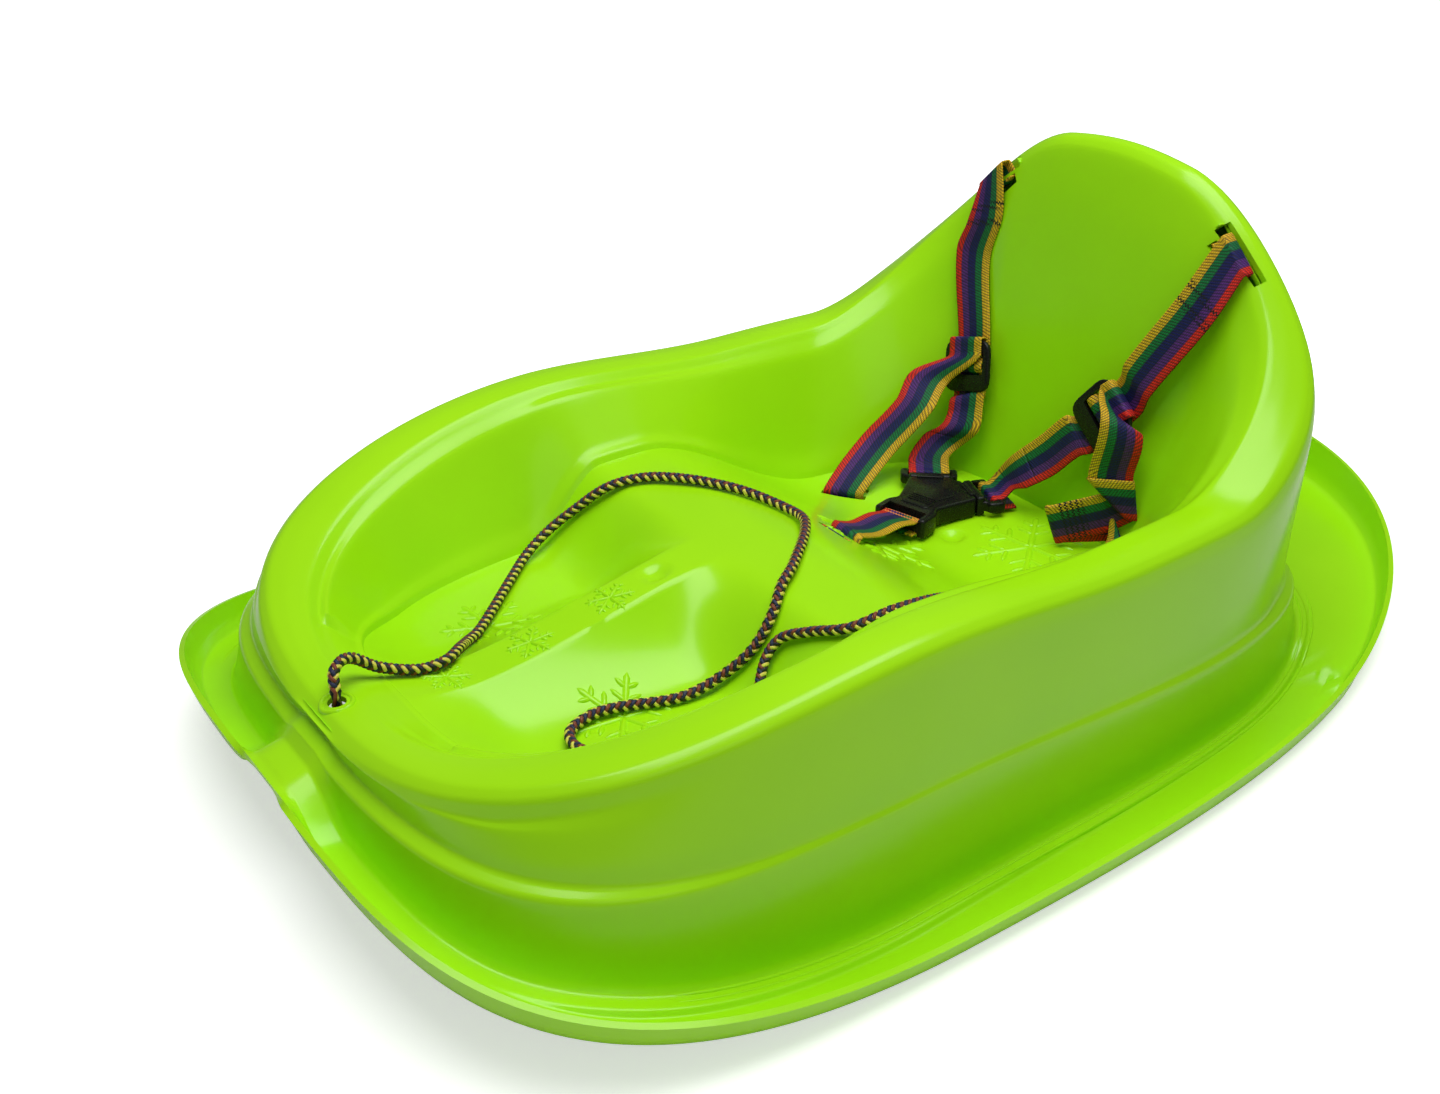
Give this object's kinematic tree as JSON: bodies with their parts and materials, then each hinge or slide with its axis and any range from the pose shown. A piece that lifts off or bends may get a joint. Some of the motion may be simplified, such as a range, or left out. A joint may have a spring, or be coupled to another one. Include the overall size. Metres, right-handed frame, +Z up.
{
  "type": "toddler sled",
  "caption": "Moulded plastic toddler sled with a tall backrest, a deep seat tub, a three-point webbing harness with a buckle, and a braided tow rope.",
  "frame": {"origin": "on the ground, under the middle of the sled's box", "axes": "+Z up, +Y toward the backrest, so the bow points along -Y; +X is the child's left"},
  "size_m": [0.4618, 0.6996, 0.268],
  "materials": {
    "green_plastic": "gloss",
    "black_plastic": "satin",
    "webbing": "woven",
    "rope": "braided"
  },
  "bodies": {
    "sled": {"shell": "green_plastic", "buckle_body": "black_plastic", "crotch_strap": "webbing", "shoulder_strap_left": "webbing", "shoulder_strap_right": "webbing", "waist_strap_left": "webbing", "waist_strap_right": "webbing", "tow_rope": "rope", "tow_rope_anchor_knot": "rope", "tow_rope_end_knot": "rope"},
    "plug_left": {"buckle_plug_left": "black_plastic"},
    "plug_right": {"buckle_plug_right": "black_plastic"},
    "slider_left": {"strap_slider_left": "black_plastic"},
    "slider_right": {"strap_slider_right": "black_plastic"}
  },
  "joints": [
    {"name": "plug_left_slide", "type": "slide", "parent": "sled", "child": "plug_left", "axis": [0.3585, 0.9333, -0.0226], "range_m": [0, 0.012], "deforming": ["shoulder_strap_left"]},
    {"name": "plug_right_slide", "type": "slide", "parent": "sled", "child": "plug_right", "axis": [-0.7771, 0.629, -0.0226], "range_m": [0, 0.012], "deforming": ["shoulder_strap_right"]},
    {"name": "slider_left_slide", "type": "slide", "parent": "sled", "child": "slider_left", "axis": [0.5885, 0.2038, 0.7824], "range_m": [-0.008, 0.015], "deforming": ["shoulder_strap_left", "waist_strap_left"]},
    {"name": "slider_right_slide", "type": "slide", "parent": "sled", "child": "slider_right", "axis": [-0.2841, 0.2471, 0.9264], "range_m": [-0.008, 0.015], "deforming": ["shoulder_strap_right", "waist_strap_right"]}
  ]
}
